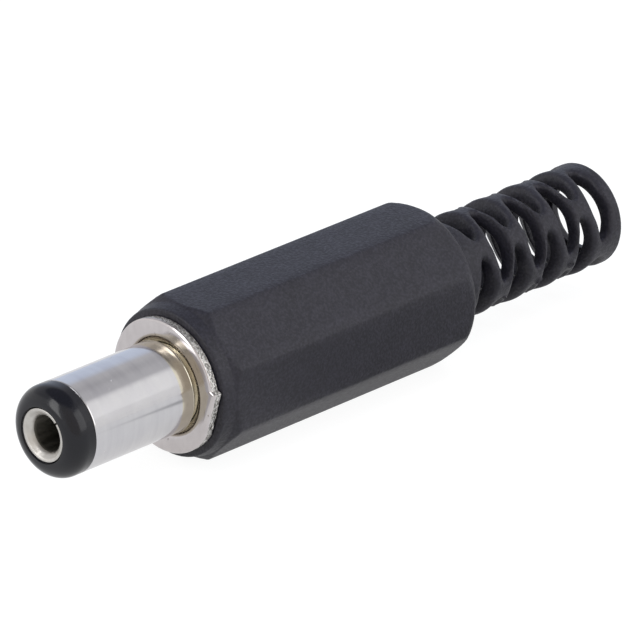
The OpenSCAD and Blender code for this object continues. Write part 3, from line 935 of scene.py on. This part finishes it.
class SleeveSide:
    """One side of the slotted sleeve, rounded towards its slots; a place on it is an angle and an x."""

    def __init__(self, radius, edge_round, outside):
        self.radius = radius
        self.edge_round = edge_round
        self.way = 1 if outside else -1
        self.edge_r = radius - self.way * edge_round
        self.half_length = SLOT_OUTER_HALF_LENGTH if outside else SLOT_HALF_LENGTH
        self.width = SLOT_WIDTH if outside else SLOT_INNER_WIDTH
        self.flash = 0 if outside else SLOT_FLASH
        marks = MOULD_MARKS if outside else []
        self.mould_marks = [(math.radians(turn), RELIEF_END_X + offset) for offset, turn in marks]
        self.search = self.edge_search()

    def on_cylinder(self, angle, x):
        """Point in space of a place."""
        return self.radius * math.cos(angle), self.radius * math.sin(angle), x

    def slot_edges(self, count):
        """Places on the edge of every slot: arrays of angle and x, one row for each slot."""
        across, along = slot_outline(self.half_length, self.width, count)
        middles = np.array(list(slot_places()))
        slot_angle, slot_x = middles[:, :1], middles[:, 1:]
        waver = np.array([ring_noise(evenly(count), NOISE_LOOP, SLOT_NOISE_STEP * slot)
                          for slot in range(len(middles))])
        along = along * (1 + SLOT_WAVER * waver / (SLOT_WIDTH / 4))
        along = along * kept_width(slot_angle, slot_x, self.flash)
        return slot_angle + np.arcsin(across / self.edge_r)[None, :], slot_x + along

    def edge_search(self):
        """Search tree of closely set points on the slots' edges."""
        angle, x = self.slot_edges(SLOT_SEARCH_POINTS)
        tree = kdtree.KDTree(angle.size)
        for i, spot in enumerate(zip(angle.ravel(), x.ravel())):
            tree.insert(self.on_cylinder(*spot), i)
        tree.balance()
        return tree

    def clearance(self, angle, x):
        """Distance from a place to the nearest edge of a slot."""
        return self.search.find(self.on_cylinder(angle, x))[2]

    def is_solid(self, angle, x):
        """Whether a place lies outside every slot."""
        for slot_angle, slot_x in slot_places():
            turn = angle - slot_angle
            across = self.edge_r * math.sin(turn)
            if math.cos(turn) >= 0 and abs(across) <= self.half_length:
                along = (x - slot_x) / kept_width(slot_angle, slot_x, self.flash)
                if abs(along) < slot_half_width(across, self.width):
                    return False
        return True

    def edge_rows(self, angle, x):
        """Places in rows that follow each slot's edge up to the end of its rounding."""
        run = self.radius * (np.roll(angle, -1, 1) - np.roll(angle, 1, 1))
        rise = np.roll(x, -1, 1) - np.roll(x, 1, 1)
        length = np.hypot(run, rise)
        for turn in SLOT_ROUNDING:
            off = self.edge_round * (1 - math.cos(turn))
            row_angle = angle + rise / length * off / self.radius
            row_x = x - run / length * off
            for spot in zip(row_angle.ravel(), row_x.ravel()):
                if self.clearance(*spot) > ROW_KEPT_SHARE * off:
                    yield spot

    def mark_rings(self):
        """Places in rings round the mould marks."""
        for mark_angle, mark_x in self.mould_marks:
            for reach in np.linspace(0, MARK_R + 2 * MARK_WIDTH, MARK_RINGS):
                for turn in evenly(MARK_POINTS if reach else 1):
                    spot = (mark_angle + reach * math.cos(turn) / self.radius,
                            mark_x + reach * math.sin(turn))
                    if self.clearance(*spot) > SLOT_WAVER and self.is_solid(*spot):
                        yield spot

    def plain_rows(self, start_x, end_x):
        """Places over the rest of the sleeve, with every other row set off by half a step."""
        margin = self.edge_round + SHELL_SPACING / 2
        across = int(TURN * self.radius / SHELL_SPACING)
        stations = np.arange(end_x + SHELL_SPACING, start_x - SHELL_SPACING / 2, SHELL_SPACING)
        for row, x in enumerate(stations):
            for angle in evenly(across) + (row % 2) * math.pi / across:
                if self.clearance(angle, x) > margin and self.is_solid(angle, x):
                    yield angle, x

    def skin_radius(self, angle, x, depth):
        """Radius of the skin with its mould marks; depth is 0 on a slot's edge and 1 past its rounding."""
        radius = self.radius - self.way * self.edge_round * (1 - math.sqrt(depth * (2 - depth)))
        for mark_angle, mark_x in self.mould_marks:
            reach = math.hypot(self.radius * (angle - mark_angle), x - mark_x)
            radius += MARK_HEIGHT * math.exp(-((reach - MARK_R) / MARK_WIDTH) ** 2)
        return radius

    def skin_point(self, angle, x, depth):
        """Point in space of the skin at a place."""
        radius = self.skin_radius(angle, x, depth)
        return x, radius * math.cos(angle), radius * math.sin(angle)

    def unrolled(self, angle, x, start_x):
        """Place on a flat ring that the sleeve is unrolled to, so that the triangles close round it."""
        return Vector((math.cos(angle), math.sin(angle))) * math.exp((start_x - x) / self.radius)

    def add_skin(self, shape, start_x, end_x):
        """Adds the skin between its rings at start_x and end_x, and returns the slots' edge points."""
        angle, x = self.slot_edges(SLOT_POINTS)
        loop_sizes = [SLOT_POINTS] * len(angle) + [len(COLUMNS)] * 2
        loop_ends = np.cumsum(loop_sizes)
        loops = [list(range(end - size, end)) for size, end in zip(loop_sizes, loop_ends)]
        loop_of = {point: i for i, loop in enumerate(loops) for point in loop}
        places = list(zip(angle.ravel(), x.ravel()))
        places += [(column, ring_x) for ring_x in (start_x, end_x) for column in COLUMNS]
        places += self.edge_rows(angle, x)
        places += self.mark_rings()
        places += self.plain_rows(start_x, end_x)

        flat = [self.unrolled(*spot, start_x) for spot in places]
        edges = [(loop[i - 1], loop[i]) for loop in loops for i in range(len(loop))]
        made = delaunay_2d_cdt(flat, edges, [], ALL_TRIANGLES, TRIANGLE_TOLERANCE)
        _, _, faces, origins, _, _ = made

        depths = [min(self.clearance(*spot) / self.edge_round, 1) for spot in places]
        depths[:angle.size] = [0] * angle.size
        depths[angle.size:len(loop_of)] = [1] * (len(loop_of) - angle.size)
        ids = shape.add_points([self.skin_point(*spot, depth) for spot, depth in zip(places, depths)])
        for face in faces:
            corners = [origins[i][0] for i in face]
            owners = {loop_of.get(i, -1) for i in corners}
            if len(owners) > 1 or -1 in owners:
                shape.add_faces([[ids[i] for i in corners]])
        return ids[:angle.size].reshape(angle.shape)


def make_handle():
    """Octagonal grip, bore and slotted sleeve in one skin."""
    root_x = HANDLE_REAR_X - ROOT_ROUND - HOLD
    outer_end_x = RELIEF_END_X + END_ROUND + HOLD
    inner_end_x = END_RING_X + HOLD
    rim = rounded([
        (outer_end_x, RELIEF_R, 0), (RELIEF_END_X, RELIEF_R, END_ROUND),
        (RELIEF_END_X, END_BORE_R, END_BORE_ROUND), (END_RING_X, END_BORE_R, END_STEP_ROUND),
        (END_RING_X, RELIEF_BORE_R, HOLE_BREAK), (inner_end_x, RELIEF_BORE_R, 0),
    ])
    shape = Shape()
    shape.add_grid(spin(grip_outline(root_x), COLUMNS, handle_radius))
    shape.add_grid(spin(rim, COLUMNS))
    outer = SleeveSide(RELIEF_R, SLOT_OUTER_ROUND, outside=True)
    inner = SleeveSide(RELIEF_BORE_R, SLOT_INNER_ROUND, outside=False)
    outer_loops = outer.add_skin(shape, root_x, outer_end_x)
    inner_loops = inner.add_skin(shape, FUNNEL_END_X, inner_end_x)
    for outer_loop, inner_loop in zip(outer_loops, inner_loops):
        for i in range(SLOT_POINTS):
            shape.add_faces([(outer_loop[i - 1], outer_loop[i], inner_loop[i], inner_loop[i - 1])])
    make_piece("handle_grip", shape, [HANDLE_PLASTIC], "handle", HANDLE_SMOOTH_BELOW)


make_barrel()
make_nose()
make_contact()
make_flange()
make_bush()
softened_copy("outer_tag", "outer_solder_tag", TAG_METAL, TAG_BREAK)
softened_copy("washer", "insulating_washer", WASHER_FIBRE, FINE_BREAK)
softened_copy("centre_tag", "centre_solder_tag", TAG_METAL, TAG_BREAK)
make_handle()


# Stage, light and camera
def background_ray(tree):
    """1 for the rays that show the background: straight from the camera, in gloss or through glass."""
    path = add_node(tree, "ShaderNodeLightPath").outputs
    seen = combine(tree, "MAXIMUM", path["Is Camera Ray"], path["Is Glossy Ray"])
    return combine(tree, "MAXIMUM", seen, path["Is Transmission Ray"])


def glossy_ray(tree):
    """1 for the rays that show in gloss."""
    return add_node(tree, "ShaderNodeLightPath").outputs["Is Glossy Ray"]


def grey_card(tree):
    """1 on the floor beside the handle, where gloss sees a grey card, fading to 0 round it."""
    own = add_node(tree, "ShaderNodeTexCoord").outputs["Object"]
    across = add_node(tree, "ShaderNodeSeparateXYZ", {"Vector": own}).outputs
    card = 1
    for axis, limits in (("X", CARD_LIMITS_X), ("Y", CARD_LIMITS_Y)):
        for fade_at, full_at in limits:
            share = spread(tree, across[axis], span=(fade_at * MM, full_at * MM), result=(0, 1))
            card = combine(tree, "MULTIPLY", card, share)
    return card


def make_floor():
    """White sweep that shows as white and keeps a light shadow."""
    half = FLOOR_HALF * MM
    z = -(HANDLE_FLAT_R + FLOOR_GAP) * MM
    mesh = bpy.data.meshes.new("floor")
    corners = [(-half, -half, z), (half, -half, z), (half, half, z), (-half, half, z)]
    mesh.from_pydata(corners, [], [(0, 1, 2, 3)])
    material = bpy.data.materials.new("floor_white")
    material.use_nodes = True
    tree = material.node_tree
    tree.nodes.clear()
    card_dim = spread(tree, grey_card(tree), span=(0, 1), result=GLOSS_DIM)
    dim = combine(tree, "MULTIPLY", glossy_ray(tree), card_dim)
    glow = add_node(tree, "ShaderNodeEmission", {"Strength": combine(tree, "SUBTRACT", FLOOR_GLOW, dim)})
    shade = add_node(tree, "ShaderNodeBsdfDiffuse", {"Color": FLOOR_SHADE})
    shown = add_node(tree, "ShaderNodeAddShader", {0: glow.outputs[0], 1: shade.outputs[0]})
    plain = add_node(tree, "ShaderNodeBsdfDiffuse", {"Color": FLOOR_GREY})
    layers = {0: background_ray(tree), 1: plain.outputs[0], 2: shown.outputs[0]}
    mix = add_node(tree, "ShaderNodeMixShader", layers)
    add_node(tree, "ShaderNodeOutputMaterial", {"Surface": mix.outputs[0]})
    mesh.materials.append(material)
    floor = add_object("floor", mesh)


def direction(azimuth, elevation):
    turn = math.radians(azimuth)
    rise = math.radians(elevation)
    return Vector((math.sin(turn) * math.cos(rise), -math.cos(turn) * math.cos(rise), math.sin(rise)))


def towards(tree, azimuth, elevation, edge, full):
    """Share from 0 to 1 of how far a ray points into a cone; edge and full are cosines."""
    ray = add_node(tree, "ShaderNodeTexCoord").outputs["Generated"]
    aim = {0: ray, 1: direction(azimuth, elevation)}
    cosine = add_node(tree, "ShaderNodeVectorMath", aim, operation="DOT_PRODUCT").outputs["Value"]
    return add_node(tree, "ShaderNodeMapRange", {"Value": cosine, "From Min": edge, "From Max": full},
                    interpolation_type="SMOOTHSTEP").outputs["Result"]


def make_world():
    """White surroundings; gloss also shows the zones of the studio."""
    world = bpy.data.worlds.new("studio")
    world.use_nodes = True
    tree = world.node_tree
    tree.nodes.clear()
    studio = WHITE
    for zone in STUDIO_ZONES.values():
        share = towards(tree, zone["azimuth"], zone["elevation"], zone["edge"], zone["full"])
        studio = blend_colours(tree, share, studio, zone["colour"])
    backdrop = blend_colours(tree, glossy_ray(tree), WHITE, studio)
    shown = add_node(tree, "ShaderNodeBackground", {"Color": backdrop})
    ambient = {"Color": AMBIENT_COLOUR, "Strength": AMBIENT_STRENGTH}
    light = add_node(tree, "ShaderNodeBackground", ambient)
    layers = {0: background_ray(tree), 1: light.outputs[0], 2: shown.outputs[0]}
    mix = add_node(tree, "ShaderNodeMixShader", layers)
    add_node(tree, "ShaderNodeOutputWorld", {"Surface": mix.outputs[0]})
    bpy.context.scene.world = world


def face_part(thing, azimuth, elevation, distance, roll=0):
    """Puts an object at a distance from the part's middle, facing it."""
    back = direction(azimuth, elevation)
    thing.location = (Vector(CAMERA_AIM) + back * distance) * MM
    thing.rotation_mode = "QUATERNION"
    thing.rotation_quaternion = (-back).to_track_quat("-Z", "Y") @ Quaternion((0, 0, 1), roll)


def add_softbox(name, azimuth, elevation, distance, width, height, power, in_gloss=True, colour=WHITE):
    """Area light that faces the part; in_gloss says whether reflections show it."""
    light = bpy.data.lights.new(name, "AREA")
    light.shape = "RECTANGLE"
    light.size = width * MM
    light.size_y = height * MM
    light.energy = power
    light.color = colour
    lamp = add_object(name, light)
    lamp.visible_camera = False
    lamp.visible_glossy = in_gloss
    face_part(lamp, azimuth, elevation, distance)


def make_camera():
    """Camera at the photograph's angle."""
    data = bpy.data.cameras.new("camera")
    data.sensor_width = SENSOR_WIDTH
    data.lens = CAMERA_LENS
    data.clip_start = CAMERA_CLIP * MM
    camera = add_object("camera", data)
    face_part(camera, CAMERA_AZIMUTH, CAMERA_ELEVATION, CAMERA_DISTANCE, CAMERA_ROLL)
    bpy.context.scene.camera = camera


make_floor()
make_world()
for softbox, settings in SOFTBOXES.items():
    add_softbox(softbox, **settings)
make_camera()
bpy.context.scene.view_settings.view_transform = "Standard"
